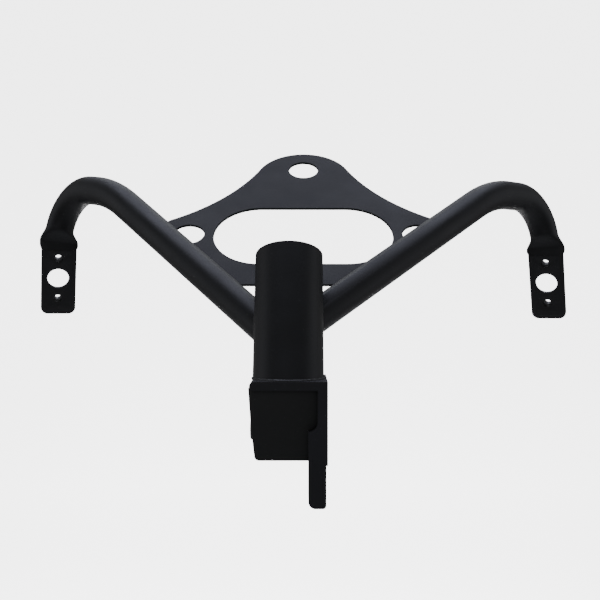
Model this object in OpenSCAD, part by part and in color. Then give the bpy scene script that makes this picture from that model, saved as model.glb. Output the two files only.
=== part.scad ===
// Fairing stay: a welded tube bracket that carries the clocks, the mirrors and the front of the fairing.
// Millimetres. The origin is on the axis of the base sleeve, in the plane halfway between the clock holes.
// X runs to the right, Y runs forward and Z runs up, as seen from the saddle.

/* [Stem] */
// Outside diameter of the stem tube
stem_d = 42.4; // [34:0.1:50]
// Wall of the stem tube
stem_wall = 3; // [2:0.1:5]
// How far the stem leans forward, degrees
stem_lean = 24; // [10:0.5:35]
// Length of the stem above the foot, along its axis
stem_len = 81; // [60:1:110]

/* [Arms] */
// Outside diameter of the arm tubes
arm_d = 22; // [16:0.1:28]
// Wall of the arm tubes
arm_wall = 1.6; // [1:0.1:3]
// Centre line radius of the long bend
bend_a = 60; // [45:1:90]
// Centre line radius of the end bend
bend_b = 33; // [28:1:34]

/* [Mirror tabs] */
// Width of the drilled flat
tab_w = 28.4; // [24:0.1:31]
// Width of the pressed shoulder above it
crush_w = 30.4; // [26:0.1:34]
// Length of the flat below its crease
tab_len = 56; // [50:0.5:70]
// Corner radius of the flat
tab_r = 4; // [1:0.5:8]
// How far the flat leans forward at its foot, degrees
tab_lean = 25.5; // [0:0.5:40]
// Diameter of the two mirror bolt holes
bolt_hole_d = 6.4; // [5:0.1:9]
// Distance from one mirror bolt hole to the other
bolt_pitch = 35.6; // [30:0.1:40]
// Diameter of the cable hole between them
cable_hole_d = 17; // [10:0.1:20]

/* [Clock plate] */
// Thickness of the clock plate
plate_t = 2; // [1.5:0.1:4]
// Slope of the clock plate, degrees
plate_tilt = 40.6; // [20:0.1:60]
// Diameter of the three grommet holes
grommet_d = 23.5; // [18:0.1:24]
// Distance between the two side holes
side_pitch = 169.4; // [165:0.1:174]
// Distance of the top hole above the line of the side holes
top_up = 87.2; // [84:0.1:92]
// Width of the bridge between the large opening and each side hole
bridge_w = 6.95; // [5:0.05:12]
// Height of the large opening
window_h = 69; // [50:0.5:70]

/* [Foot] */
// Thickness of the top flange
flange_t = 5; // [4:0.1:8]
// Thickness of the side leg
leg_t = 5.8; // [4:0.1:8]
// Width of the locating tongue
tongue_w = 10.2; // [8:0.1:14]
// Thickness of the web
web_t = 4; // [2:0.1:6]
// Outside diameter of the base sleeve
sleeve_d = 13; // [12:0.1:15]
// Bore of the base sleeve
sleeve_bore = 8.5; // [6:0.1:9]

/* [Hidden] */
$fn = 64;
stem_r = stem_d / 2;
arm_r = arm_d / 2;
tab_t = 2 * arm_wall;
weld = 2.6;
gap = 0.3;
past = 30;
big = 400;

// Foot: the stem stands on the top face of the flange.
foot_top = 28.2;
flange_x0 = -30.8;
leg_x1 = 13.9;
front_y = -14.5;
flange_y1 = 37.5;
leg_foot = -19.2;
tongue_foot = -43.6;
tongue_x0 = 2.8;
tongue_in_r = 4;
tongue_out_r = 2;
leg_back_top = 31;
leg_back_bend = [14, -10];
leg_back = 6;
web_x0 = -30.2;
web_foot = -16;
web_foot_x0 = -26.3;
web_r = 1.5;
web_front = -sleeve_d / 2 - web_t;
sleeve_x0 = -30;
stem_dir = [0, sin(stem_lean), cos(stem_lean)];
stem_foot = [-9, 12.4, foot_top];

// Clock plate: its middle plane passes through the centre of the side holes.
plate_o = [0, 139.8, 122.4];
lobe_r = 37.8;
lobe_s = 73.4;
waist_r = 154;
waist_turn = 65.8;
wing_r = 23;
wing_out = 1.5;
drop = 1;
rim_s = -58;
window_w = side_pitch - grommet_d - 2 * bridge_w;

// Arms: the inner straight of each arm lies on the top face of the clock plate.
rest = arm_r + plate_t / 2;
left_in = [-31.6, -105.3];
left_out = [-145.4, 38.1];
left_top = [-194.8, 210.3, 166.1];
left_end = [-197.9, 203.5, 125.4];
left_yaw = 17.5;
right_in = [12, -100];
right_out = [142.6, 36.8];
right_top = [192.8, 207.4, 156.3];
right_end = [195.3, 203.5, 121.4];
right_yaw = -21.9;
crush_lead = 10;
crush_h = 10.6;
press_step = 0.25;
tab_first = 6.8;
tab_mid = tab_first + bolt_pitch / 2;
trim = 10;

// Welds of the clock plate: where they start along each arm, their length and their radius.
left_welds = [56, 96];
right_welds = [64, 104];
rim_weld_len = 22;
rim_weld_r = 3.4;
web_weld_x = [-28, 6];
sleeve_weld_x = [-26, -2];
sleeve_weld_r = 2.4;
sleeve_weld_in = 1.5;
ledge = 0.4;

function unit(v) = v / norm(v);
function on_plate(p, h) = plate_o
  + p[0] * [1, 0, 0]
  + p[1] * [0, cos(plate_tilt), sin(plate_tilt)]
  + h * [0, -sin(plate_tilt), cos(plate_tilt)];

// Fillet of radius r at corner b of the path a, b, c.
function turn(a, b, c) = 180 - acos(unit(a - b) * unit(c - b));
function tangent_len(a, b, c, r) = r * tan(turn(a, b, c) / 2);
function fillet_in(a, b, c, r) = b + unit(a - b) * tangent_len(a, b, c, r);
function fillet_out(a, b, c, r) = b + unit(c - b) * tangent_len(a, b, c, r);
function fillet_centre(a, b, c, r) = b
  + unit(unit(a - b) + unit(c - b)) * r / cos(turn(a, b, c) / 2);
function fillet_x(a, b, c, r) = unit(fillet_in(a, b, c, r) - fillet_centre(a, b, c, r));
function fillet_at(a, b, c, r, t) = fillet_centre(a, b, c, r)
  + r * (cos(t) * fillet_x(a, b, c, r) + sin(t) * unit(b - a));
function fillet_dir(a, b, c, r, t) =
  cos(t) * unit(b - a) - sin(t) * fillet_x(a, b, c, r);

// Start of an arm: the point of its axis nearest to the axis of the stem.
function reach(p, d) = ((d * stem_dir) * (stem_dir * (p - stem_foot)) - d * (p - stem_foot))
  / (1 - pow(d * stem_dir, 2));
function arm_root(p, q) = p + unit(p - q) * reach(p, unit(p - q));

stem_tube();
arm_left();
arm_right();
clock_plate();
base_bracket();
base_web();
base_sleeve();
weld_stem_foot();
weld_arm_left();
weld_arm_right();
weld_plate_left();
weld_plate_right();
weld_web();
weld_sleeve();

// Turns children so that their Z axis points along d, and moves them to p.
module aim(p, d) {
  translate(p) rotate([0, acos(d[2]), atan2(d[1], d[0])]) children();
}

module rod(a, b, r) {
  aim(a, unit(b - a)) cylinder(h = norm(b - a), r = r);
}

// Bent length of round bar that fillets corner b. It stops short of its start and of its end by two angles.
module elbow(a, b, c, bend, r, first, last) {
  x = fillet_x(a, b, c, bend);
  y = unit(b - a);
  z = cross(x, y);
  o = fillet_centre(a, b, c, bend);
  multmatrix([[x[0], y[0], z[0], o[0]], [x[1], y[1], z[1], o[1]], [x[2], y[2], z[2], o[2]], [0, 0, 0, 1]])
    rotate([0, 0, first]) rotate_extrude(angle = turn(a, b, c) - first - last)
      translate([bend, 0]) circle(r = r);
}

// Round bar on the axis of the stem, from well below its foot to the height high.
module stem_solid(r, high) {
  aim(stem_foot, stem_dir) translate([0, 0, -past]) cylinder(h = past + high, r = r);
}

// Blocks that cut away what lies below a level, or in front of the back face of the web.
module below(z) {
  translate([-big / 2, -big / 2, z - big]) cube(big);
}

module before_web_back() {
  translate([-big / 2, web_front + web_t - big, -big / 2]) cube(big);
}

// Stem: a raked tube with its foot cut level with the flange.
module stem_tube() {
  color([0.09, 0.09, 0.1]) difference() {
    stem_solid(stem_r, stem_len);
    stem_solid(stem_r - stem_wall, stem_len + past);
    below(foot_top);
  }
}

// Thin collar that closes the gap between two lengths.
module collar(p, d, r) {
  aim(p, d) translate([0, 0, -0.8]) cylinder(h = 1.6, r = r + 0.05);
}

// Round bar along the whole arm, from the stem to the pressed end. Lengths meet inside thin collars.
module arm_bar(p0, p1, p2, p3, r) {
  in_a = fillet_in(p0, p1, p2, bend_a);
  out_a = fillet_out(p0, p1, p2, bend_a);
  in_b = fillet_in(p1, p2, p3, bend_b);
  root = arm_root(p0, p1);
  rod(root, in_a - gap * unit(in_a - root), r);
  elbow(p0, p1, p2, bend_a, r, 1 / 3, 1 / 3);
  rod(out_a + gap * unit(in_b - out_a), in_b - gap * unit(in_b - out_a), r);
  elbow(p1, p2, p3, bend_b, r, 0.5, crush_lead);
  collar(in_a, unit(in_a - root), r);
  collar(out_a, unit(in_b - out_a), r);
  collar(in_b, unit(in_b - out_a), r);
}

// Turns children with the tab: Z runs up along it and Y runs through it.
module pressed(crease, yaw, lean) {
  translate(crease) rotate([0, 0, yaw]) rotate([lean, 0, 0]) children();
}

// Wedge that runs from the round tube at p to a flat of width w and thickness t.
module crush(p, d, crease, yaw, r, w, t) {
  hull() {
    aim(p, d) translate([0, 0, -gap]) cylinder(h = 2 * gap, r = r, $fn = 32);
    pressed(crease, yaw, 0) translate([-w / 2, -t / 2, crush_h - 3]) cube([w, t, 1]);
  }
}

// Side view of the pressed flat: upright down to the crease, leaning below it.
module flat_side() {
  m = tab_t / 2 * tan(tab_lean / 2);
  polygon([[-tab_t / 2, crush_h - 2.5], [-tab_t / 2, -m],
    [-tab_t / 2 * cos(tab_lean) + tab_len * sin(tab_lean), -tab_t / 2 * sin(tab_lean) - tab_len * cos(tab_lean)],
    [tab_t / 2 * cos(tab_lean) + tab_len * sin(tab_lean), tab_t / 2 * sin(tab_lean) - tab_len * cos(tab_lean)],
    [tab_t / 2, m], [tab_t / 2, crush_h - 2.5]]);
}

// What is cut from the leaning flat: its trimmed sides, its lower corners and its three holes.
module flat_cuts() {
  for (s = [-1, 1]) translate([s * (tab_w / 2 + trim), 0, -(tab_len + trim) / 2])
    cube([2 * trim, 4 * tab_t, tab_len + trim], center = true);
  for (s = [-1, 1]) translate([s * (tab_w / 2 - tab_r), 0, tab_r - tab_len]) difference() {
    translate([s * (tab_r + 1) / 2, 0, -(tab_r + 1) / 2]) cube([tab_r + 1, 4 * tab_t, tab_r + 1], center = true);
    rotate([90, 0, 0]) cylinder(h = 8 * tab_t, r = tab_r, center = true);
  }
  for (s = [-1, 1]) translate([0, 0, s * bolt_pitch / 2 - tab_mid]) rotate([90, 0, 0])
    cylinder(h = 8 * tab_t, d = bolt_hole_d, center = true);
  translate([0, 0, -tab_mid]) rotate([90, 0, 0]) cylinder(h = 8 * tab_t, d = cable_hole_d, center = true);
}

// The half of space past the middle plane of the stem, as seen from one arm. The arms are mitred there.
module past_middle(side) {
  translate([stem_foot[0] - (1 + side) * big / 2, -big / 2, 0]) cube(big);
}

// One arm: bent tube, coped on the stem and pressed flat at its outer end. side is -1 for the left arm.
module arm(p0, p1, p2, p3, yaw, side) {
  t = turn(p1, p2, p3) - crush_lead;
  a = fillet_at(p1, p2, p3, bend_b, t);
  d = fillet_dir(p1, p2, p3, bend_b, t);
  crease = p3 - [0, 0, crush_h];
  color([0.09, 0.09, 0.1]) difference() {
    union() {
      arm_bar(p0, p1, p2, p3, arm_r);
      crush(a, d, crease, yaw, arm_r + press_step, crush_w + 0.1, tab_t + 0.1);
      pressed(crease, yaw, 0) translate([-crush_w / 2, 0, 0]) rotate([90, 0, 90]) linear_extrude(crush_w)
        flat_side();
    }
    arm_bar(p0, p1, p2, p3, arm_r - arm_wall);
    crush(a, d, crease, yaw, arm_r - arm_wall - press_step, crush_w - 4 * arm_wall, 0.3);
    pressed(crease, yaw, tab_lean) flat_cuts();
    stem_solid(stem_r, stem_len + past);
    past_middle(side);
  }
}

module arm_left() {
  arm(on_plate(left_in, rest), on_plate(left_out, rest), left_top, left_end, left_yaw, -1);
}

module arm_right() {
  arm(on_plate(right_in, rest), on_plate(right_out, rest), right_top, right_end, right_yaw, 1);
}

// Places children drawn in the plane of the clock plate.
module on_slope() {
  translate(plate_o) rotate([plate_tilt, 0, 0]) children();
}

// Points on an arc about c, from angle a0 to angle a1.
function arc(c, r, a0, a1, n) = [for (i = [0:n]) c + r * [cos(a0 + (a1 - a0) * i / n), sin(a0 + (a1 - a0) * i / n)]];
function mirrored(p) = [for (i = [len(p) - 1:-1:0]) [-p[i][0], p[i][1]]];

// Where the line from p to q reaches the height s.
function at_height(p, q, s) = p + (q - p) * (s - p[1]) / (q[1] - p[1]);

// Where the line through p and q leaves the wing, on the side away from the stem.
function wing_cut(p, q, c) = p + unit(q - p) * (unit(q - p) * (c - p)
  + sqrt(pow(wing_r, 2) - pow(norm(c - p), 2) + pow(unit(q - p) * (c - p), 2)));
function bearing(v) = atan2(v[1], v[0]);

// Right flank: the top lobe, the hollow waist and the wing run into each other without a corner.
waist_c = [0, lobe_s] + (waist_r + lobe_r) * [sin(waist_turn), cos(waist_turn)];
wing_c = [side_pitch / 2 + wing_out, -drop];
flank_end = bearing(wing_c + wing_r * unit(waist_c - wing_c) - waist_c);
flank = concat(
  arc([0, lobe_s], lobe_r, 90, bearing(waist_c - [0, lobe_s]), 20),
  arc(waist_c, waist_r, 180 + bearing(waist_c - [0, lobe_s]), 360 + flank_end, 16));

// Outline of the clock plate: a round top lobe, hollow flanks, round wings and a V shaped lower edge.
module plate_outline() {
  right = wing_cut(right_in, right_out, wing_c);
  left = wing_cut(left_in, left_out, [-wing_c[0], wing_c[1]]);
  a0 = bearing(waist_c - wing_c);
  polygon(concat(
    flank,
    arc(wing_c, wing_r, a0, bearing(right - wing_c), 12),
    [at_height(right_in, right_out, rim_s), at_height(left_in, left_out, rim_s)],
    mirrored(arc(wing_c, wing_r, a0, bearing([-left[0], left[1]] - wing_c), 12)),
    mirrored(flank)));
}

module plate_cuts() {
  for (s = [-1, 1]) translate([s * side_pitch / 2, 0]) circle(d = grommet_d);
  translate([0, top_up]) circle(d = grommet_d);
  for (s = [-1, 1]) translate([s * (window_w - window_h) / 2, -drop]) circle(d = window_h);
  translate([-(window_w - window_h) / 2, -drop - window_h / 2]) square([window_w - window_h, window_h]);
}

module clock_plate() {
  color([0.11, 0.11, 0.12]) on_slope() translate([0, 0, -plate_t / 2]) linear_extrude(plate_t)
    difference() {
      plate_outline();
      plate_cuts();
    }
}

// Front view of the bracket: flange, leg and locating tongue in one outline.
module bracket_front() {
  flare = leg_x1 - leg_t - tongue_x0;
  difference() {
    union() {
      translate([flange_x0 + flange_t / 2, foot_top - flange_t]) square([leg_x1 - flange_x0 - flange_t / 2, flange_t]);
      translate([flange_x0 + flange_t / 2, foot_top - flange_t / 2]) circle(d = flange_t);
      translate([leg_x1 - leg_t, leg_foot]) square([leg_t, foot_top - leg_foot - 1]);
      translate([tongue_x0, leg_foot]) square([leg_x1 - tongue_x0, flare - leg_foot]);
      translate([tongue_x0, tongue_foot + tongue_in_r]) square([tongue_w, leg_foot - tongue_foot]);
      translate([tongue_x0 + tongue_in_r, tongue_foot])
        square([tongue_w - tongue_in_r - tongue_out_r, tongue_in_r + 1]);
      translate([tongue_x0 + tongue_in_r, tongue_foot + tongue_in_r]) circle(r = tongue_in_r);
      translate([tongue_x0 + tongue_w - tongue_out_r, tongue_foot + tongue_out_r]) circle(r = tongue_out_r);
      translate([tongue_x0 + tongue_w - tongue_out_r, tongue_foot + tongue_out_r]) square([tongue_out_r, tongue_in_r]);
    }
    translate([tongue_x0, flare]) circle(r = flare);
  }
}

// Side view of the same bracket.
module bracket_side() {
  polygon([[front_y, foot_top], [flange_y1, foot_top], [flange_y1, foot_top - flange_t],
    [leg_back_top, foot_top - flange_t], leg_back_bend, [leg_back, leg_foot], [leg_back, tongue_foot],
    [front_y, tongue_foot]]);
}

// Round bar on the axis of the base sleeve, right through the foot.
module cross_bar(d) {
  translate([-big / 2, 0, 0]) rotate([0, 90, 0]) cylinder(h = big, d = d);
}

module base_bracket() {
  color([0.09, 0.09, 0.1]) difference() {
    intersection() {
      translate([0, big / 2, 0]) rotate([90, 0, 0]) linear_extrude(big) bracket_front();
      translate([-big / 2, 0, 0]) rotate([90, 0, 90]) linear_extrude(big) bracket_side();
    }
    cross_bar(sleeve_bore);
  }
}

// Web that closes the front of the bracket, set back from its front edges.
module base_web() {
  color([0.08, 0.08, 0.09]) translate([0, web_front + web_t, 0]) rotate([90, 0, 0]) linear_extrude(web_t)
    difference() {
      polygon(concat([[web_x0, foot_top - flange_t], [leg_x1 - leg_t + gap, foot_top - flange_t],
        [leg_x1 - leg_t + gap, web_foot]],
        arc([web_foot_x0 + web_r, web_foot + web_r], web_r, 270, 180, 8)));
      bracket_front();
    }
}

module base_sleeve() {
  color([0.09, 0.09, 0.1]) difference() {
    translate([sleeve_x0, 0, 0]) rotate([0, 90, 0]) cylinder(h = tongue_x0 - sleeve_x0, d = sleeve_d);
    cross_bar(sleeve_bore);
  }
}

// Weld round the foot of the stem, on top of the flange.
module weld_stem_foot() {
  color([0.12, 0.12, 0.13]) difference() {
    intersection() {
      stem_solid(stem_r + weld, stem_len);
      translate([flange_x0 + ledge, front_y + ledge, foot_top])
        cube([leg_x1 - flange_x0 - 2 * ledge, flange_y1 - front_y - 2 * ledge, weld]);
    }
    stem_solid(stem_r, stem_len + past);
  }
}

// Weld where an arm meets the stem: a collar on the arm, cut by the stem and ending at the mitre.
module weld_arm(p0, p1, side) {
  color([0.12, 0.12, 0.13]) difference() {
    intersection() {
      rod(arm_root(p0, p1), p0, arm_r + weld);
      stem_solid(stem_r + weld, stem_len);
    }
    past_middle(side);
    rod(arm_root(p0, p1) - unit(p1 - p0), p0 + unit(p1 - p0), arm_r);
    stem_solid(stem_r, stem_len + past);
  }
}

module weld_arm_left() {
  weld_arm(on_plate(left_in, rest), on_plate(left_out, rest), -1);
}

module weld_arm_right() {
  weld_arm(on_plate(right_in, rest), on_plate(right_out, rest), 1);
}

// Two short welds in the corner that the lower edge of the clock plate makes with an arm.
// The first point is the one with the plate on the left of the line.
module weld_plate(p, q, starts) {
  color([0.12, 0.12, 0.13]) difference() {
    on_slope() translate([p[0], p[1], 0]) rotate([0, 0, bearing(q - p)]) difference() {
      for (k = starts) translate([k, 0, 0]) rotate([0, 90, 0]) cylinder(h = rim_weld_len, r = rim_weld_r);
      translate([0, 0, -big / 2]) cube(big);
      translate([0, -big / 2, -big - plate_t / 2]) cube(big);
    }
    rod(on_plate(p, rest), on_plate(q, rest), arm_r);
  }
}

module weld_plate_left() {
  weld_plate(left_out, left_in, left_welds);
}

module weld_plate_right() {
  weld_plate(right_in, right_out, right_welds);
}

// Weld behind the web, under the flange.
module weld_web() {
  color([0.12, 0.12, 0.13]) difference() {
    translate([web_weld_x[0], web_front + web_t, foot_top - flange_t]) rotate([0, 90, 0])
      cylinder(h = web_weld_x[1] - web_weld_x[0], r = weld);
    before_web_back();
    translate([-big / 2, -big / 2, foot_top - flange_t]) cube(big);
  }
}

// Welds above and below the sleeve, in the corners that it makes with the web.
module weld_sleeve() {
  color([0.12, 0.12, 0.13]) difference() {
    for (s = [-1, 1]) translate([sleeve_weld_x[0], web_front + web_t, s * (sleeve_d / 2 - sleeve_weld_in)])
      rotate([0, 90, 0]) cylinder(h = sleeve_weld_x[1] - sleeve_weld_x[0], r = sleeve_weld_r);
    before_web_back();
    cross_bar(sleeve_d);
  }
}
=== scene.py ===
# %% [markdown]
# # A motorcycle fairing stay in satin black
#
# The stay is a welded steel bracket. A stem stands on a foot that bolts to the frame, two bent tubes run out
# to the mirrors, and a cut steel plate between them carries the clocks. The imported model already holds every
# piece at its real size. This lesson gives the metal its finish and draws anew the pieces whose soft forms
# come easier in Blender, such as the pressed tube ends and the rippled weld beads. It also sets the camera,
# the floor and the light.

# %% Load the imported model
import math

import bmesh
import bpy
from mathutils import Matrix, Vector


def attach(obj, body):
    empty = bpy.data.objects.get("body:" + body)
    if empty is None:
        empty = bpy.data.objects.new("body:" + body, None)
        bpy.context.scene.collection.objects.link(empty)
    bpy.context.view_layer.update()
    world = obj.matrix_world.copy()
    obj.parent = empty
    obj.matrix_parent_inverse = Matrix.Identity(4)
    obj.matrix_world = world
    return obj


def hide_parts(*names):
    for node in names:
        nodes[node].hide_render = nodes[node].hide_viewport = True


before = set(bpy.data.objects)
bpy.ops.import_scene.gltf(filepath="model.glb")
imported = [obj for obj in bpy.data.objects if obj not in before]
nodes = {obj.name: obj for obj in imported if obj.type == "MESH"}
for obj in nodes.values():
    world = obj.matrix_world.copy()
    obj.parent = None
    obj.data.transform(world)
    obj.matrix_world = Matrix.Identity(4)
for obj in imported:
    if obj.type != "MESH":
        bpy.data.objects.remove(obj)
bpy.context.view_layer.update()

print("pieces in the frame:", sorted(nodes))

# %% [markdown]
# ## Sizes
#
# Blender works in metres here. The sizes below are the ones that more than one piece needs: where the stem
# stands, how far it leans, how the clock plate is tilted, and the line that each arm follows. They are the
# sizes that the solids were drawn with, so a piece made from them sits exactly in its place.

# %% Shared sizes
MM = 0.001
STEM_R = 21.2 * MM
ARM_R = 11 * MM
STEM_LEAN = math.radians(24)
FLANGE_TOP_MM = 28.2
STEM_FOOT = Vector((-9, 12.4, FLANGE_TOP_MM)) * MM
STEM_AXIS = Vector((0, math.sin(STEM_LEAN), math.cos(STEM_LEAN)))
PLATE_TILT = math.radians(40.6)
PLATE_O = Vector((0, 139.8, 122.4)) * MM
PLATE_T = 2 * MM
UP_SLOPE = Vector((0, math.cos(PLATE_TILT), math.sin(PLATE_TILT)))
OFF_SLOPE = Vector((0, -math.sin(PLATE_TILT), math.cos(PLATE_TILT)))
ARM_REST = ARM_R + PLATE_T / 2

# How far the flat at the end of each arm is turned about the vertical
TAB_YAW = {"left": math.radians(17.5), "right": math.radians(-21.9)}

# Each arm lies on the clock plate from its start at the stem to its first bend: across and up the slope
ON_PLATE_MM = {"left": ((-31.6, -105.3), (-145.4, 38.1)), "right": ((12, -100), (142.6, 36.8))}

# Then it leaves the plate for its top corner, and turns down to its end
OFF_PLATE_MM = {
    "left": ((-194.8, 210.3, 166.1), (-197.9, 203.5, 125.4)),
    "right": ((192.8, 207.4, 156.3), (195.3, 203.5, 121.4)),
}


def on_plate(x, s, h):
    """A point by the clock plate: x across and s up the slope in millimetres, h above it in metres."""
    return PLATE_O + Vector((x, 0, 0)) * MM + UP_SLOPE * (s * MM) + OFF_SLOPE * h


ARMS = {}
for hand, lying in ON_PLATE_MM.items():
    rising = [Vector(corner) * MM for corner in OFF_PLATE_MM[hand]]
    ARMS[hand] = [on_plate(x, s, ARM_REST) for x, s in lying] + rising
print("arm starts, mm:", {hand: [round(c / MM, 1) for c in line[0]] for hand, line in ARMS.items()})

# %% [markdown]
# ## The camera
#
# The photograph was taken level, from the rider's side, a little more than half a metre from the foot. A lens
# of about 54 mm gives the same perspective. The small sideways shift puts the middle of the clock plate a few
# pixels right of the middle of the picture, as it is in the photograph.

# %% Camera
IMAGE_PX = 600
FOCAL_PX = 893
MIDDLE_PX = 303.4
SENSOR_MM = 36
CAMERA_AT = Vector((0, -518.5, 74.5)) * MM

camera_data = bpy.data.cameras.new("camera")
camera_data.sensor_width = SENSOR_MM
camera_data.lens = FOCAL_PX / IMAGE_PX * SENSOR_MM
camera_data.shift_x = (IMAGE_PX / 2 - MIDDLE_PX) / IMAGE_PX
camera = bpy.data.objects.new("camera", camera_data)
camera.location = CAMERA_AT
camera.rotation_euler = (math.radians(90), 0, 0)
bpy.context.scene.collection.objects.link(camera)
bpy.context.scene.camera = camera
print("lens, mm:", round(camera_data.lens, 1))

# %% [markdown]
# ## A helper for shader nodes
#
# A material in Blender is a small graph. One function adds a node, gives it its settings and joins its
# inputs, so that each material below reads as a list of what it is made of. Colours are written as the hex
# codes of a picture, and a second function turns them into the linear values that a shader wants.


# %% Node helper and colours
def linear(hex_code):
    """An sRGB hex colour as the linear RGBA that shaders use."""
    channels = [int(hex_code[i:i + 2], 16) / 255 for i in (1, 3, 5)]
    rgb = [c / 12.92 if c <= 0.04045 else ((c + 0.055) / 1.055) ** 2.4 for c in channels]
    return (*rgb, 1.0)


def add(tree, kind, inputs=None, **settings):
    """A new node. inputs maps socket names to values, or to the output sockets that feed them."""
    made = tree.nodes.new(kind)
    for name, value in settings.items():
        setattr(made, name, value)
    for name, value in (inputs or {}).items():
        if isinstance(value, bpy.types.NodeSocket):
            tree.links.new(value, made.inputs[name])
        else:
            made.inputs[name].default_value = value
    return made


# %% [markdown]
# ## Satin black powder coat
#
# Powder coat is a dry plastic powder that is sprayed on and baked until it flows. It leaves a skin about a
# tenth of a millimetre thick that looks even from a step away, with a shallow orange peel about two
# millimetres across and a fine tooth that makes the shine soft. The colour is a near black. Its shine varies
# a little where hands and cloths have touched it. A noise at each of those sizes gives the surface its life.
# The rougher the tooth of a coat, the less is left of its mirror-like part, which is its sheen below.

# %% Powder coat
PEEL_MM = 2.2
PEEL_DEPTH = 0.06 * MM
TOOTH_MM = 0.35
TOOTH_DEPTH = 0.02 * MM
TOOTH_STRENGTH = 0.25
HANDLING_MM = 38
COLOUR_FROM, COLOUR_TO = 0.35, 0.68
ROUGH_FROM, ROUGH_TO = 0.3, 0.7
COAT_IOR = 1.5


def powder_coat(name, dark, light, rough_low, rough_high, peel, sheen=0.3):
    """Powder coated steel. dark and light are the limits of its colour, peel the strength of its peel."""
    material = bpy.data.materials.new(name)
    material.use_nodes = True
    tree = material.node_tree
    tree.nodes.clear()
    place = add(tree, "ShaderNodeTexCoord").outputs["Object"]
    handling = add(tree, "ShaderNodeTexNoise", {
        "Vector": place, "Scale": 1 / (HANDLING_MM * MM), "Detail": 4.0})
    peel_noise = add(tree, "ShaderNodeTexNoise", {
        "Vector": place, "Scale": 1 / (PEEL_MM * MM), "Detail": 1.0})
    tooth = add(tree, "ShaderNodeTexNoise", {
        "Vector": place, "Scale": 1 / (TOOTH_MM * MM), "Detail": 2.0})
    ramp = add(tree, "ShaderNodeValToRGB", {"Fac": handling.outputs["Fac"]})
    stops = zip(ramp.color_ramp.elements, (COLOUR_FROM, COLOUR_TO), (dark, light))
    for stop, position, hex_code in stops:
        stop.position = position
        stop.color = linear(hex_code)
    rough = add(tree, "ShaderNodeMapRange", {
        "Value": handling.outputs["Fac"], "From Min": ROUGH_FROM, "From Max": ROUGH_TO,
        "To Min": rough_low, "To Max": rough_high})
    peel_bump = add(tree, "ShaderNodeBump", {
        "Height": peel_noise.outputs["Fac"], "Strength": peel, "Distance": PEEL_DEPTH})
    tooth_bump = add(tree, "ShaderNodeBump", {
        "Height": tooth.outputs["Fac"], "Strength": TOOTH_STRENGTH, "Distance": TOOTH_DEPTH,
        "Normal": peel_bump.outputs["Normal"]})
    surface = add(tree, "ShaderNodeBsdfPrincipled", {
        "Base Color": ramp.outputs["Color"], "Roughness": rough.outputs["Result"], "IOR": COAT_IOR,
        "Specular IOR Level": sheen, "Normal": tooth_bump.outputs["Normal"]})
    add(tree, "ShaderNodeOutputMaterial", {"Surface": surface.outputs["BSDF"]})
    print("material:", name)
    return material


tube_coat = powder_coat("satin_black_powder_coat_on_tube", "#0c0c0d", "#111113",
                        rough_low=0.42, rough_high=0.52, peel=0.5, sheen=0.22)
plate_coat = powder_coat("satin_black_powder_coat_on_sheet", "#0c0c0d", "#121215",
                         rough_low=0.50, rough_high=0.60, peel=0.5, sheen=0.16)
# The foot's coat is lighter and bluer than the tubes' as painted light, for its flange and side edges that
# face the lamps; the black itself is the same coat
foot_coat_painted_light = powder_coat("satin_black_powder_coat_on_plate_lightened_as_painted_light", "#101014", "#17171d",
                        rough_low=0.50, rough_high=0.60, peel=0.6, sheen=0.26)
# The web's coat is a darker copy of the same black, as painted shade for the recess it sits in behind the
# bracket's edges
web_coat_painted_shade = powder_coat("satin_black_powder_coat_on_web_darkened_as_painted_shade", "#080808", "#0d0e0d",
                       rough_low=0.50, rough_high=0.60, peel=0.6)
weld_coat = powder_coat("satin_black_powder_coat_on_weld", "#101011", "#19191b",
                        rough_low=0.38, rough_high=0.5, peel=0.8)

# Zinc flake is a thin, matt coat that is baked on too, so the same recipe makes it in grey
nut_coat = powder_coat("grey_zinc_flake_coat_on_nut", "#505154", "#66676a",
                       rough_low=0.40, rough_high=0.50, peel=0.4, sheen=0.4)

# %% [markdown]
# ## Dressing the solids
#
# The stem, the clock plate and the bracket of the foot keep their own meshes, and only the material in each
# slot changes. The others are dressed as well, so that the model is whole here, and are replaced further on.

# %% Materials on the solids
FINISH = {
    "stem_tube": tube_coat,
    "arm_left": tube_coat,
    "arm_right": tube_coat,
    "clock_plate": plate_coat,
    # base_bracket and base_sleeve take the lighter coat, painted light on their lit edges, and base_web the
    # darker one, painted shade in its recess
    "base_bracket": foot_coat_painted_light,
    "base_web": web_coat_painted_shade,
    "base_sleeve": foot_coat_painted_light,
}


def dress(piece, material):
    """Puts one material in every slot of a piece."""
    for place in piece.material_slots:
        place.material = material


for node_name, solid in nodes.items():
    dress(solid, FINISH.get(node_name, weld_coat))
print("dressed:", len(nodes))

# %% [markdown]
# ## Where an arm meets the stem
#
# A tube that is welded to a round post is coped: its end is cut to the shape of the post. The line of that
# cut is saddle shaped. A boolean would find it too, but as an uneven row of edges. Here it is found by
# sliding each point of the arm's surface along the arm until it lies on the surface of the stem, which takes
# one square root and gives a clean, even line for the tube's end and for the bead around it.


# %% The saddle line
def arm_frame(along):
    """Two directions square to a direction and to each other."""
    side = along.cross(Vector((0, 0, 1))).normalized()
    return side, along.cross(side)


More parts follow.
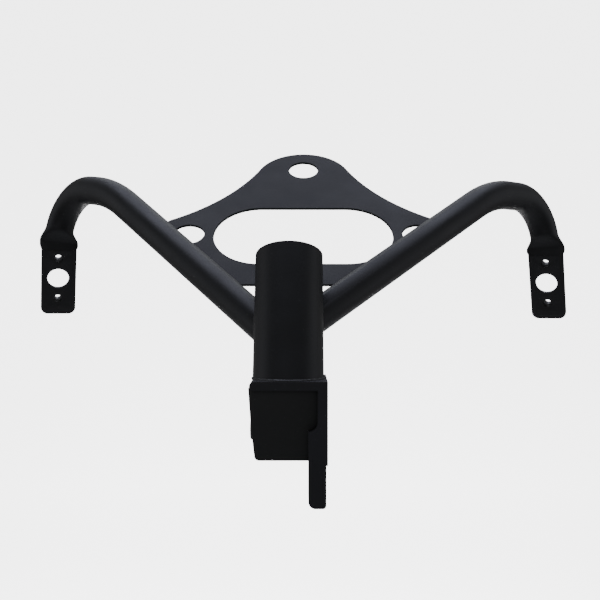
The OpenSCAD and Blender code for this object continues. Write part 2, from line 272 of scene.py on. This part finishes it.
def saddle_line(start, out, lift):
    """Where the round arm from start towards out meets the stem, as a function of the angle round the arm."""
    along = (out - start).normalized()
    side, up = arm_frame(along)

    def square_to_stem(v):
        return v - STEM_AXIS * v.dot(STEM_AXIS)

    def line(t):
        normal = side * math.cos(t) + up * math.sin(t)
        w = square_to_stem(start + normal * ARM_R - STEM_FOOT)
        v = square_to_stem(along)
        half = w.dot(v)
        root = half * half - v.length_squared * (w.length_squared - STEM_R * STEM_R)
        slide = (-half + math.sqrt(max(0.0, root))) / v.length_squared
        touch = start + normal * ARM_R + along * slide
        outward = square_to_stem(touch - STEM_FOOT).normalized()
        return touch + (normal + outward).normalized() * lift

    return line


for hand, line in ARMS.items():
    saddle = saddle_line(line[0], line[1], 0.0)
    height = (saddle(math.pi / 2) - saddle(-math.pi / 2)).length
    print("saddle of the", hand, "arm, mm high:", round(height / MM, 1))

# %% [markdown]
# ## The bent tubes
#
# Each arm is one tube. A bender gives it a long bend and a tight one. The skin is drawn the way the bender
# works: rings of points follow the centre line, and each ring is turned with the direction of the tube. The
# press takes the last few degrees of the tight bend, so the round rings stop a little before its end.

# %% Rings along an arm
RING_POINTS = 64
ANGLES = [2 * math.pi * k / RING_POINTS for k in range(RING_POINTS)]
BEND_STEPS = 18
BEND_A = {"left": 105 * MM, "right": 85 * MM}
BEND_B = 33 * MM
CRUSH_LEAD = math.radians(10)
COPE_SUNK = 0.4 * MM


def fillet(a, b, c, radius):
    """The arc that rounds corner b: a function from an angle to a point and a direction, and its turn."""
    into, away = (b - a).normalized(), (c - b).normalized()
    turn = into.angle(away)
    centre = b + (away - into).normalized() * radius / math.cos(turn / 2)
    side = (b - into * radius * math.tan(turn / 2) - centre).normalized()

    def at(t):
        point = centre + (side * math.cos(t) + into * math.sin(t)) * radius
        return point, into * math.cos(t) - side * math.sin(t)

    return at, turn


def bent_rings(line, long_bend):
    """The rings of the round tube, its last point with the direction there, and the two directions across."""
    p0, p1, p2, p3 = line
    bend_a, turn_a = fillet(p0, p1, p2, long_bend)
    bend_b, turn_b = fillet(p1, p2, p3, BEND_B)
    stations = [bend_a(turn_a * k / BEND_STEPS) for k in range(BEND_STEPS + 1)]
    stations += [bend_b((turn_b - CRUSH_LEAD) * k / BEND_STEPS) for k in range(BEND_STEPS + 1)]
    cope = saddle_line(p0, p1, -COPE_SUNK)
    rings = [[cope(t) for t in ANGLES]]
    heading = (p1 - p0).normalized()
    side, up = arm_frame(heading)
    for point, direction in stations:
        twist = heading.rotation_difference(direction)
        side, up, heading = twist @ side, twist @ up, direction
        rings.append([point + (side * math.cos(t) + up * math.sin(t)) * ARM_R for t in ANGLES])
    return rings, stations[-1], side, up


for hand, (p0, p1, p2, p3) in ARMS.items():
    turns = [fillet(p0, p1, p2, BEND_A[hand])[1], fillet(p1, p2, p3, BEND_B)[1]]
    print("bends of the", hand, "arm, degrees:", [round(math.degrees(turn)) for turn in turns])

# %% [markdown]
# ## The pressed shoulder
#
# A press squeezes the end of the tube flat between two blocks. The metal has nowhere to go but sideways, so
# the tube flares into a soft shoulder before the flat begins, and narrows again to the width that the flat is
# cut to. In the press each ring turns from a circle into a wide, thin oval. The steps are shares of the way
# from the end of the tight bend down to the crease.

# %% Rings in the press
PRESS_STEPS = 18
CRUSH_H = 10.6 * MM
TAB_W = 27.6 * MM
TAB_T = 3.2 * MM
TAB_LEAN = math.radians(25.5)
SHOULDER_W = 30.0 * MM
WIDE_BY = 0.62
THIN_BY = 0.7
NECK_FROM = 0.76
ROUND_POWER = 2
FLAT_POWER = 4.5
TUCK = 3 * MM
TUCK_SHARE = 0.9


def smooth_step(x):
    """0 up to 0 and 1 from 1 on, with a soft rise between."""
    x = max(0.0, min(1.0, x))
    return x * x * (3 - 2 * x)


def oval(value, power):
    """A cosine or sine drawn out so that a circle becomes an oval with flatter sides."""
    return math.copysign(abs(value) ** (2 / power), value)


def pressed_rings(last, side, up, crease, yaw, late):
    """The rings from the end of the tight bend down to the crease, and one that is tucked into the flat. The
    later the shoulder starts, as a share of that length, the lower it sits."""
    start, heading = last
    wide = Vector((math.cos(yaw), math.sin(yaw), 0))
    thin = Vector((-math.sin(yaw), math.cos(yaw), 0))
    wide_0 = (wide - heading * wide.dot(heading)).normalized()
    thin_0 = (thin - heading * thin.dot(heading) - wide_0 * thin.dot(wide_0)).normalized()
    spokes = [side * math.cos(t) + up * math.sin(t) for t in ANGLES]
    bearings = [math.atan2(spoke.dot(thin_0), spoke.dot(wide_0)) for spoke in spokes]
    reach = (crease - start).length / 3
    knee_a, knee_b = start + heading * reach, crease + Vector((0, 0, reach))
    rings = []
    for k in range(1, PRESS_STEPS + 1):
        q = k / PRESS_STEPS
        r = 1 - q
        middle = start * r ** 3 + knee_a * 3 * q * r ** 2 + knee_b * 3 * q * q * r + crease * q ** 3
        flare = smooth_step((q - late) / WIDE_BY)
        neck = smooth_step((q - NECK_FROM - late / 2) / (1 - NECK_FROM - late / 2))
        half_w = ARM_R + (SHOULDER_W / 2 - ARM_R) * flare - (SHOULDER_W - TAB_W) / 2 * neck
        half_t = ARM_R + (TAB_T / 2 - ARM_R) * smooth_step(q / THIN_BY)
        power = ROUND_POWER + (FLAT_POWER - ROUND_POWER) * flare
        across = wide_0.lerp(wide, q).normalized() * half_w
        through = thin_0.lerp(thin, q).normalized() * half_t
        rings.append([middle + across * oval(math.cos(b), power) + through * oval(math.sin(b), power)
                      for b in bearings])
    lean = Matrix.Rotation(yaw, 3, "Z") @ Matrix.Rotation(TAB_LEAN, 3, "X")
    down = lean @ Vector((0, 0, -TUCK))
    rings.append([crease + down + (p - crease) * TUCK_SHARE for p in rings[-1]])
    return rings


print("shoulder and flat, mm wide:", round(SHOULDER_W / MM, 1), round(TAB_W / MM, 1))

# %% [markdown]
# ## Flat pieces with holes
#
# Flat pieces with holes are easiest as a filled 2D curve: each outline is a closed line, the curve is given a
# thickness, and a small bevel rounds the edges as a tumbled or deburred cut is rounded. One function makes
# all of them here: the drilled flats, the nuts behind them, and the sleeve and the web of the foot. A second
# one turns the raw shape into a clean piece: doubles are merged first, and then the faces are turned outward.

# %% Flat pieces with holes
DOUBLES = 0.002 * MM


def circle_line(x, y, radius, count=48):
    """A closed line of count points on a circle."""
    turns = [2 * math.pi * k / count for k in range(count)]
    return [(x + radius * math.cos(t), y + radius * math.sin(t)) for t in turns]


def add_flat(shape, outlines, thickness, soft, place):
    """Adds a flat piece to a bmesh, from closed outlines in a plane, the first one outside. place puts it
    where it belongs, and soft is how far its edges are rounded, beyond the outlines."""
    curve = bpy.data.curves.new("flat_piece", "CURVE")
    curve.dimensions = "2D"
    curve.fill_mode = "BOTH"
    curve.extrude = thickness / 2 - soft
    curve.bevel_depth = soft
    curve.bevel_resolution = 2
    for outline in outlines:
        spline = curve.splines.new("POLY")
        spline.use_cyclic_u = True
        spline.points.add(len(outline) - 1)
        for spot, (x, y) in zip(spline.points, outline):
            spot.co = (x, y, 0, 1)
    maker = bpy.data.objects.new("flat_piece", curve)
    bpy.context.scene.collection.objects.link(maker)
    mesh = bpy.data.meshes.new_from_object(maker.evaluated_get(bpy.context.evaluated_depsgraph_get()))
    bpy.data.objects.remove(maker)
    bpy.data.curves.remove(curve)
    mesh.transform(place)
    shape.from_mesh(mesh)
    bpy.data.meshes.remove(mesh)


def placed(name, mesh, material):
    """An object for a mesh in one material, smooth shaded, as a piece of the welded body."""
    mesh.materials.clear()
    mesh.materials.append(material)
    mesh.polygons.foreach_set("material_index", [0] * len(mesh.polygons))
    mesh.polygons.foreach_set("use_smooth", [True] * len(mesh.polygons))
    made = bpy.data.objects.new(name, mesh)
    bpy.context.scene.collection.objects.link(made)
    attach(made, "root")
    print(name, "faces:", len(mesh.polygons))
    return made


def finished(name, shape, material, sharp_degrees=35):
    """An object from a bmesh: doubles merged, normals outward, smooth shaded but for its sharp edges."""
    bmesh.ops.remove_doubles(shape, verts=shape.verts, dist=DOUBLES)
    bmesh.ops.recalc_face_normals(shape, faces=shape.faces)
    mesh = bpy.data.meshes.new(name)
    shape.to_mesh(mesh)
    shape.free()
    made = placed(name, mesh, material)
    mesh.set_sharp_from_angle(angle=math.radians(sharp_degrees))
    return made


# %% [markdown]
# ## The arms with their drilled flats
#
# The flat of each arm is two walls of tube pressed into one. It is cut to width, its two free corners are
# rounded, and two bolt holes with a cable hole between them are drilled through it. The skin of the tube is
# bridged from ring to ring, and the flat is added to the same mesh. In the photograph the flats sit a little
# to the side of their holes, and the right shoulder starts lower than the left one.

# %% The arms
TAB_LEN = 56.7 * MM
TAB_R = 5.8 * MM
TAB_MIDDLE = {"left": 0.4 * MM, "right": 0.6 * MM}
PRESS_LATE = {"left": 0.0, "right": 0.12}
BOLT_R = 3.2 * MM
CABLE_R = 8.5 * MM
TAB_FIRST = 6.8 * MM
BOLT_PITCH = 35.6 * MM
CUT_SOFT = 0.35 * MM


def tab_outlines(middle):
    """The outline of a flat and its holes: x across it, y down it, and middle its shift to the side."""
    half = TAB_W / 2 - CUT_SOFT
    foot = TAB_LEN - CUT_SOFT
    radius = TAB_R - CUT_SOFT
    corner = [math.radians(d) for d in range(0, 91, 9)]
    right = [(half - radius + radius * math.cos(t), foot - radius + radius * math.sin(t)) for t in corner]
    left = [(-x, y) for x, y in reversed(right)]
    outer = [(x + middle, y) for x, y in [(half, 0.0)] + right + left + [(-half, 0.0)]]
    bolts = [circle_line(0, y, BOLT_R + CUT_SOFT) for y in (TAB_FIRST, TAB_FIRST + BOLT_PITCH)]
    cable = circle_line(0, TAB_FIRST + BOLT_PITCH / 2, CABLE_R + CUT_SOFT, 64)
    return [outer, *bolts, cable]


def on_tab(hand):
    """The place of a flat piece drawn with x across the tab and y down it."""
    crease = ARMS[hand][-1] - Vector((0, 0, CRUSH_H))
    return (Matrix.Translation(crease) @ Matrix.Rotation(TAB_YAW[hand], 4, "Z")
            @ Matrix.Rotation(TAB_LEAN, 4, "X") @ Matrix.Rotation(math.radians(-90), 4, "X"))


def make_arm(hand):
    """One arm: the bent tube, the pressed shoulder and the drilled flat in one skin."""
    line, yaw = ARMS[hand], TAB_YAW[hand]
    rings, last, side, up = bent_rings(line, BEND_A[hand])
    crease = line[-1] - Vector((0, 0, CRUSH_H)) + Vector((math.cos(yaw), math.sin(yaw), 0)) * TAB_MIDDLE[hand]
    rings += pressed_rings(last, side, up, crease, yaw, PRESS_LATE[hand])
    shape = bmesh.new()
    loops = []
    for ring in rings:
        verts = [shape.verts.new(p) for p in ring]
        loops.append([shape.edges.new((a, b)) for a, b in zip(verts, verts[1:] + verts[:1])])
    for one, other in zip(loops, loops[1:]):
        bmesh.ops.bridge_loops(shape, edges=one + other)
    bmesh.ops.holes_fill(shape, edges=loops[0] + loops[-1], sides=RING_POINTS)
    add_flat(shape, tab_outlines(TAB_MIDDLE[hand]), TAB_T, CUT_SOFT, on_tab(hand))
    made = finished("pressed_arm_" + hand, shape, tube_coat)
    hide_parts("arm_" + hand)


for hand in ARMS:
    make_arm(hand)

# %% [markdown]
# ## The nuts behind the flats
#
# Little light comes through the two small holes of each flat, and what shows in them is a grey wall. That is
# how a nut looks that is welded behind a hole, so each one gets an M6 nut: ten millimetres across its flats
# and six high, in a grey zinc coat, with a bore a little narrower than the hole in front of it.

# %% Nuts behind the flats
NUT_FLATS = 10 * MM
NUT_H = 6 * MM
NUT_BORE_R = 2.5 * MM
NUT_SOFT = 0.5 * MM
NUT_SUNK = 0.05 * MM


def make_nut(hand, which, down):
    """One nut behind a flat, at a distance down from its crease."""
    corner_r = NUT_FLATS / 2 / math.cos(math.pi / 6) - NUT_SOFT
    outlines = [circle_line(0, 0, corner_r, 6), circle_line(0, 0, NUT_BORE_R + NUT_SOFT, 32)]
    place = on_tab(hand) @ Matrix.Translation((0, down, TAB_T / 2 + NUT_H / 2 - NUT_SUNK))
    shape = bmesh.new()
    add_flat(shape, outlines, NUT_H, NUT_SOFT, place)
    finished("mirror_nut_" + hand + "_" + which, shape, nut_coat)


for hand in ARMS:
    make_nut(hand, "upper", TAB_FIRST)
    make_nut(hand, "lower", TAB_FIRST + BOLT_PITCH)

# %% [markdown]
# ## The sleeve of the foot
#
# The sleeve is a short tube for the bolt that holds the stay. Its end sticks out beside the web, and its
# outer edge is well rounded where the coat has built up over a chamfer. It could be spun from its section.
# Here it is a flat ring of great thickness, because the function for flat pieces rounds its edges as well.

# %% The sleeve of the foot
SLEEVE_R = 6.5 * MM
SLEEVE_BORE_R = 4.25 * MM
SLEEVE_X = (-30.7 * MM, 2.8 * MM)
SLEEVE_SOFT = 1.1 * MM
SLEEVE_SHARP = 50


def make_sleeve():
    """The cross sleeve, with its axis along X."""
    place = Matrix.Translation((sum(SLEEVE_X) / 2, 0, 0)) @ Matrix.Rotation(math.radians(90), 4, "Y")
    outlines = [circle_line(0, 0, SLEEVE_R - SLEEVE_SOFT), circle_line(0, 0, SLEEVE_BORE_R + SLEEVE_SOFT)]
    shape = bmesh.new()
    add_flat(shape, outlines, SLEEVE_X[1] - SLEEVE_X[0], SLEEVE_SOFT, place)
    # The sleeve takes the foot's lighter coat, with its painted light
    made = finished("foot_sleeve", shape, foot_coat_painted_light, SLEEVE_SHARP)
    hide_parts("base_sleeve")


make_sleeve()

# %% [markdown]
# ## The web of the foot
#
# The web is a plate behind the front edges of the bracket. Its left edge slopes and its lower corner is
# rounded. It is drawn as a flat piece whose outline follows the photograph, and it runs a little way into the
# bracket at the right, so that no gap shows in the corner.

# %% The web of the foot
WEB_FRONT, WEB_BACK = -10.5 * MM, -6.5 * MM
WEB_SOFT = 0.6 * MM
WEB_CORNER = 2.2 * MM
WEB_LINE_MM = [
    (-30.9, 23.6), (8.4, 23.6), (8.4, -1.0), (3.4, -1.0),
    (3.4, -16.5), (-27.2, -16.5), (-28.7, -4.0), (-29.8, 7.9),
]
LOWER_LEFT = 5
ARC_SHARES = (0, 0.15, 0.3, 0.5, 0.7, 0.85, 1)


def rounded(points, which, radius):
    """The outline with one of its corners cut to an arc of about this radius."""
    a, b, c = (Vector(points[(which + k) % len(points)]) for k in (-1, 0, 1))
    first, last = b + (a - b).normalized() * radius, b + (c - b).normalized() * radius
    arc = [first * (1 - t) ** 2 + b * 2 * t * (1 - t) + last * t * t for t in ARC_SHARES]
    return points[:which] + [(p.x, p.y) for p in arc] + points[which + 1:]


def make_web():
    """The recessed plate, drawn in the front view and set between its front and back."""
    line = [(x * MM, z * MM) for x, z in WEB_LINE_MM]
    place = Matrix.Translation((0, (WEB_FRONT + WEB_BACK) / 2, 0)) @ Matrix.Rotation(math.radians(90), 4, "X")
    shape = bmesh.new()
    add_flat(shape, [rounded(line, LOWER_LEFT, WEB_CORNER)], WEB_BACK - WEB_FRONT, WEB_SOFT, place)
    # The web takes the darker coat, which is painted shade for its recess
    made = finished("foot_web", shape, web_coat_painted_shade)
    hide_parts("base_web")


make_web()

# %% [markdown]
# ## Weld beads with ripples
#
# A welder moves the arc in small steps, and each step leaves a crescent, so a bead looks like a row of coins
# pushed over. Here each bead is a curve with a round bevel. Its radius rises fast and falls slowly once per
# ripple, which is the shape that a row of frozen puddles has, and a slow wave keeps the ripples from being
# all alike. The curve is turned into a mesh afterwards.

# %% The bead
RIPPLE = 1.5 * MM
STEPS_PER_RIPPLE = 5
RIPPLE_RISE = 0.14
WAVE_RISE = 0.04
WAVE_STEP = 0.37
FINE_STEPS = 400


def bead(name, lines, size):
    """One piece for all the given lines. size is a function that gives the radius of the bead at a point."""
    curve = bpy.data.curves.new(name, "CURVE")
    curve.dimensions = "3D"
    curve.bevel_depth = 1.0
    curve.bevel_resolution = 3
    curve.use_fill_caps = True
    for line in lines:
        spline = curve.splines.new("POLY")
        spline.points.add(len(line) - 1)
        for k, (spot, at) in enumerate(zip(spline.points, line)):
            phase = k % STEPS_PER_RIPPLE / STEPS_PER_RIPPLE
            swell = 1.0 + RIPPLE_RISE * (1.0 - phase) - WAVE_RISE * math.sin(k * WAVE_STEP)
            spot.co = (*at, 1.0)
            spot.radius = size(at) * swell
    maker = bpy.data.objects.new(name + "_maker", curve)
    bpy.context.scene.collection.objects.link(maker)
    mesh = bpy.data.meshes.new_from_object(maker.evaluated_get(bpy.context.evaluated_depsgraph_get()))
    bpy.data.objects.remove(maker)
    bpy.data.curves.remove(curve)
    mesh.name = name
    return placed(name, mesh, weld_coat)


def even(path, start, end):
    """Points along path(t) for t from start to end, one step of a ripple apart."""
    rough = [path(start + (end - start) * k / FINE_STEPS) for k in range(FINE_STEPS + 1)]
    length = sum((b - a).length for a, b in zip(rough, rough[1:]))
    wanted = max(2, round(length / (RIPPLE / STEPS_PER_RIPPLE)))
    points, run, k = [rough[0]], 0.0, 0
    for j in range(1, wanted + 1):
        target = length * j / wanted
        while k < FINE_STEPS - 1 and run + (rough[k + 1] - rough[k]).length < target:
            run += (rough[k + 1] - rough[k]).length
            k += 1
        step = rough[k + 1] - rough[k]
        points.append(rough[k] + step * min(1.0, (target - run) / step.length))
    return points


# %% [markdown]
# ## The beads at the stem
#
# The bead at the foot of the stem follows an ellipse, because the stem leans over the level flange. It is a
# small one, and thin where the flange is hardly wider than the stem, with one heavier run at the front left
# that sags forward. The beads of the arms follow the saddle lines found above.

# %% Beads at the stem
BEAD_R = 2.0 * MM
ARM_BEAD_LIFT = 0.5 * MM
FLANGE_X = (-30.8 * MM, 13.9 * MM)
FOOT_BEAD_R = 0.8 * MM
FOOT_BEAD_LEAST = 0.4 * MM
FOOT_BEAD_OUT = 0.3 * MM
FOOT_BEAD_LIFT = 0.1 * MM
LEDGE_SHARE = 0.6
LEDGE_MORE = 0.1 * MM
HEAVY_X = -16 * MM
HEAVY_SPREAD = 5 * MM
HEAVY_R = 0.5 * MM
HEAVY_FORWARD = 1.6 * MM
HEAVY_SAG = 0.2 * MM


def heavy_run(x, y):
    """How much of the heavier run there is at a point: 1 in its middle, 0 far from it."""
    return math.exp(-((x - HEAVY_X) / HEAVY_SPREAD) ** 2) if y < 0 else 0.0


def foot_line(t):
    """The path of the bead on the flange, as a function of the angle round the stem."""
    out = STEM_R + FOOT_BEAD_OUT
    x, y = out * math.cos(t), out * math.sin(t) / math.cos(STEM_LEAN)
    heavy = heavy_run(STEM_FOOT.x + x, STEM_FOOT.y + y)
    return STEM_FOOT + Vector((x, y - HEAVY_FORWARD * heavy, FOOT_BEAD_LIFT - HEAVY_SAG * heavy))


def foot_size(at):
    """The radius of the bead on the flange, held down where the ledge beside it is narrow."""
    ledge = min(at.x - FLANGE_X[0], FLANGE_X[1] - at.x)
    wanted = FOOT_BEAD_R + HEAVY_R * heavy_run(at.x, at.y)
    return max(FOOT_BEAD_LEAST, min(wanted, LEDGE_SHARE * ledge + LEDGE_MORE))


foot_bead = bead("bead_stem_foot", [even(foot_line, 0.0, 2 * math.pi)], foot_size)
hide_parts("weld_stem_foot")
for hand, line in ARMS.items():
    ring = even(saddle_line(line[0], line[1], ARM_BEAD_LIFT), 0.0, 2 * math.pi)
    arm_bead = bead("bead_arm_" + hand, [ring], lambda at: BEAD_R)
    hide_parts("weld_arm_" + hand)

# %% [markdown]
# ## The beads on the clock plate and at the foot
#
# The clock plate is held to each arm by two short beads, in the corner that its lower rim makes with the
# tube. Behind the web, one bead runs under the flange and two run beside the sleeve. They are hardly seen,
# but they are what holds the foot together.

# %% Beads on the clock plate and at the foot
# Each rim is followed the same way round the plate, in along the left arm and out along the right one
RIM_RUNS_MM = {"left": ON_PLATE_MM["left"][::-1], "right": ON_PLATE_MM["right"]}
RIM_STARTS_MM = {"left": (56, 96), "right": (64, 104)}
RIM_BEAD_MM = 22
RIM_OUT_MM = 0.9
RIM_LIFT = 0.9 * MM
RIM_BEAD_R = 1.7 * MM
FLANGE_T_MM = 5
WEB_BEAD_MM = (-28, 6)
SLEEVE_BEAD_MM = (-26, -2)
SLEEVE_BEAD_Z_MM = (-5, 5)


def straight(a, b):
    """Evenly spaced points from a to b."""
    return even(lambda t: a.lerp(b, t), 0.0, 1.0)


def behind_web(ends, z):
    """A straight run on the back of the web, from one x to another at the height z, in millimetres."""
    return straight(*(Vector((x * MM, WEB_BACK, z * MM)) for x in ends))


for hand, (p, q) in RIM_RUNS_MM.items():
    run = (Vector(q) - Vector(p)).normalized()
    down = Vector((run.y, -run.x))
    rows = []
    for k in RIM_STARTS_MM[hand]:
        first = Vector(p) + run * k + down * RIM_OUT_MM
        last = first + run * RIM_BEAD_MM
        rows.append(straight(on_plate(first.x, first.y, RIM_LIFT), on_plate(last.x, last.y, RIM_LIFT)))
    rim_bead = bead("bead_plate_" + hand, rows, lambda at: RIM_BEAD_R)
    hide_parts("weld_plate_" + hand)

web_bead = bead("bead_web", [behind_web(WEB_BEAD_MM, FLANGE_TOP_MM - FLANGE_T_MM)], lambda at: BEAD_R)
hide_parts("weld_web")
sleeve_rows = [behind_web(SLEEVE_BEAD_MM, z) for z in SLEEVE_BEAD_Z_MM]
sleeve_bead = bead("bead_sleeve", sleeve_rows, lambda at: RIM_BEAD_R)
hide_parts("weld_sleeve")

# %% [markdown]
# ## The floor and the backdrop
#
# A black object on white is lit the other way round from most things: what the camera sees behind it is
# bright, and what it mirrors is kept dim, or its gloss would turn it grey. So the floor is a plain pale sheet
# that only the lamps light, and a sheet of lit paper hangs well behind, just large enough to fill the
# picture. The lit sheet is left out of all reflections, because it would draw bright rims along the tubes,
# which the photograph doesn't show. Both are far off, so the sizes are in metres.

# %% Floor and backdrop
FLOOR_Z = -1.05
FLOOR_DROP = 0.004
FLOOR_HALF = 7.0
SWEEP_START = 2.55
SWEEP_END = 3.0
SWEEP_R = 0.4
SWEEP_TOP = 1.3
SWEEP_HALF = 1.25
SWEEP_GLOW = 4.0


def sheet(name, profile, half, material):
    """A sheet that hangs or lies along a line of (y, z) points, as wide as twice half."""
    mesh = bpy.data.meshes.new(name)
    shape = bmesh.new()
    edge = [shape.verts.new((-half, y, z)) for y, z in profile]
    rim = [shape.edges.new(pair) for pair in zip(edge, edge[1:])]
    grown = bmesh.ops.extrude_edge_only(shape, edges=rim)["geom"]
    far_edge = [g for g in grown if isinstance(g, bmesh.types.BMVert)]
    bmesh.ops.translate(shape, verts=far_edge, vec=(2 * half, 0, 0))
    bmesh.ops.recalc_face_normals(shape, faces=shape.faces)
    shape.to_mesh(mesh)
    shape.free()
    mesh.polygons.foreach_set("use_smooth", [True] * len(mesh.polygons))
    mesh.materials.append(material)
    made = bpy.data.objects.new(name, mesh)
    bpy.context.scene.collection.objects.link(made)
    return made


def paper(name, hex_code, glow):
    """Matt paper. glow is the light that a lamp behind it, or on it, adds."""
    material = bpy.data.materials.new(name)
    material.use_nodes = True
    tree = material.node_tree
    tree.nodes.clear()
    matt = add(tree, "ShaderNodeBsdfPrincipled", {
        "Base Color": linear(hex_code), "Roughness": 1.0, "Specular IOR Level": 0.0,
        "Emission Color": linear("#ffffff"), "Emission Strength": glow})
    add(tree, "ShaderNodeOutputMaterial", {"Surface": matt.outputs["BSDF"]})
    return material


# The floor lies a little below the foot of the backdrop, so that the two never share a plane
flat_line = [(y, FLOOR_Z - FLOOR_DROP) for y in (-FLOOR_HALF, FLOOR_HALF)]
sheet("floor", flat_line, FLOOR_HALF, paper("pale_paper", "#e8e8e8", 0.0))

bend = [math.radians(d) for d in range(0, 91, 6)]
curve_up = [(SWEEP_END - SWEEP_R + SWEEP_R * math.sin(t), FLOOR_Z + SWEEP_R - SWEEP_R * math.cos(t))
            for t in bend]
hanging_line = [(SWEEP_START, FLOOR_Z), *curve_up, (SWEEP_END, SWEEP_TOP)]
sweep = sheet("backdrop", hanging_line, SWEEP_HALF, paper("lit_white_paper", "#f4f4f4", SWEEP_GLOW))
sweep.visible_glossy = False
print("floor at, mm:", round(FLOOR_Z / MM))

# %% [markdown]
# ## The lamps
#
# A large soft box overhead and a little behind draws the long highlight on the upper side of the tubes and
# fills the clock plate with an even tone. Two weak boxes at the sides edge the stem. A weak one high behind
# and one in front, a little to the left, keep the stay from going black when it is seen from other sides, and
# the room itself is dim. Places and sizes are in metres, powers in watts.

# %% Lamps
MIDDLE = (0, 0.12, 0.08)
ROOM_STRENGTH = 0.28
SOFT_BOXES = {
    "top_box": {"at": (0, 0.2, 1.3), "width": 1.5, "height": 0.9, "power": 18, "hex_code": "#e4e8ff"},
    "left_box": {"at": (-1.4, 0.1, 0.25), "width": 0.9, "height": 1.2, "power": 3, "hex_code": "#f2f4ff"},
    "right_box": {"at": (1.4, 0.1, 0.25), "width": 0.9, "height": 1.2, "power": 3, "hex_code": "#f2f4ff"},
    "back_box": {"at": (0, 1.5, 1.4), "width": 1.6, "height": 0.6, "power": 6, "hex_code": "#f2f6ff"},
    "front_box": {"at": (-0.3, -1.8, 0.5), "width": 1.4, "height": 1.4, "power": 4, "hex_code": "#f4f5ff"},
}


def soft_box(name, at, aim, width, height, power, hex_code):
    """A rectangular area light at one point, turned to face another."""
    lamp = bpy.data.lights.new(name, "AREA")
    lamp.shape = "RECTANGLE"
    lamp.size = width
    lamp.size_y = height
    lamp.energy = power
    lamp.color = linear(hex_code)[:3]
    made = bpy.data.objects.new(name, lamp)
    made.location = at
    made.rotation_euler = (Vector(aim) - Vector(at)).to_track_quat("-Z", "Y").to_euler()
    bpy.context.scene.collection.objects.link(made)


for name, box in SOFT_BOXES.items():
    soft_box(name, aim=MIDDLE, **box)

world = bpy.data.worlds.new("dim_studio")
world.use_nodes = True
world.node_tree.nodes.clear()
room = add(world.node_tree, "ShaderNodeBackground", {"Color": linear("#ffffff"), "Strength": ROOM_STRENGTH})
add(world.node_tree, "ShaderNodeOutputWorld", {"Surface": room.outputs["Background"]})
bpy.context.scene.world = world
